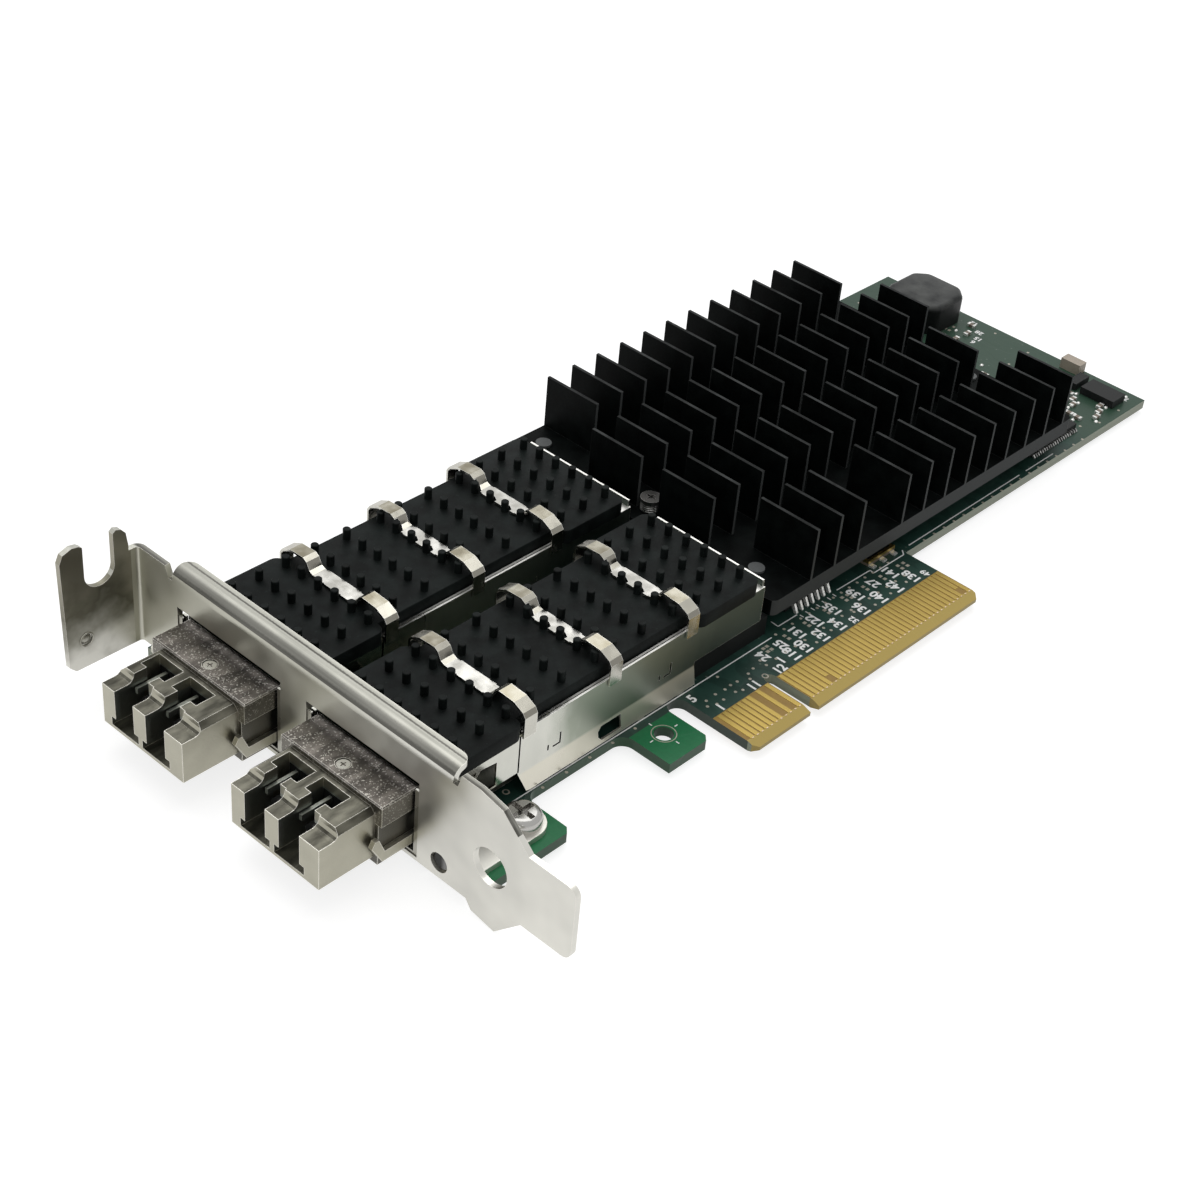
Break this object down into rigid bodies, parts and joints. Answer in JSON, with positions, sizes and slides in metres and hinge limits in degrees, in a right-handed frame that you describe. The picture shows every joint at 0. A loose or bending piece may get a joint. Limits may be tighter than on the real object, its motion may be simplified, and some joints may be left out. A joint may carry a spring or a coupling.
{
  "type": "network interface card",
  "caption": "Low-profile plug-in network card with caged optical modules under clipped pin coolers, a large cross-cut black heat sink, a folded steel bracket and a gold edge connector.",
  "frame": {"origin": "centre of the key notch, at the contact edge, on the component side of the board", "axes": "+X along the card away from the bracket, +Y from the contact edge to the top edge, +Z out of the component side"},
  "size_m": [0.1817, 0.0806, 0.0242],
  "materials": {
    "board": "green solder mask, semi-gloss",
    "gold": "gold plating, satin",
    "bracket_steel": "bright nickel-plated sheet",
    "screw_steel": "bright plated",
    "cage_steel": "bright tin-plated sheet",
    "clip_steel": "bright spring steel",
    "black_anodised": "black anodised",
    "sink_black": "black anodised",
    "cast_nickel": "nickel-plated casting",
    "lid_nickel": "grained nickel plating",
    "black_plastic": "matt",
    "connector_plastic": "matt",
    "chip_plastic": "matt moulding compound",
    "inductor_grey": "rough moulded",
    "tan_plastic": "moulded",
    "ceramic": "ceramic",
    "solder": "bright solder",
    "lens": "clear light guide",
    "pad": "soft pad",
    "pin_grey": "grey moulded"
  },
  "bodies": {
    "root": {"bracket": "bracket_steel", "bracket_screws": "screw_steel", "cage_left": "cage_steel", "cage_right": "cage_steel", "circuit_board": "board", "clips_left": "clip_steel", "clips_right": "clip_steel", "collar_left": "clip_steel", "collar_right": "clip_steel", "controller": "chip_plastic", "controller_balls": "solder", "cooler_left": "black_anodised", "cooler_right": "black_anodised", "corner_chips": "chip_plastic", "edge_chip": "chip_plastic", "edge_chip_leads": "solder", "gold_contacts_back": "gold", "gold_contacts_front": "gold", "heat_pad": "pad", "host_connector_left": "connector_plastic", "host_connector_right": "connector_plastic", "inductor": "inductor_grey", "latch_arms_left": "cast_nickel", "latch_arms_right": "cast_nickel", "lid_screws": "screw_steel", "light_guide": "lens", "main_heat_sink": "sink_black", "memory_chip": "chip_plastic", "memory_chip_leads": "solder", "module_body_left": "lid_nickel", "module_body_right": "lid_nickel", "module_card_left": "board", "module_card_right": "board", "module_lid_left": "lid_nickel", "module_lid_right": "lid_nickel", "module_nose_left": "cast_nickel", "module_nose_right": "cast_nickel", "oscillator": "ceramic", "oscillator_lid": "ceramic", "oscillator_rim": "gold", "receptacle_left": "black_plastic", "receptacle_right": "black_plastic", "sink_pins": "pin_grey", "sink_screw": "screw_steel", "sink_spring": "screw_steel", "small_parts": "ceramic", "solder_ends": "solder", "tan_capacitors": "tan_plastic", "underside_parts": "chip_plastic"}
  },
  "joints": []
}
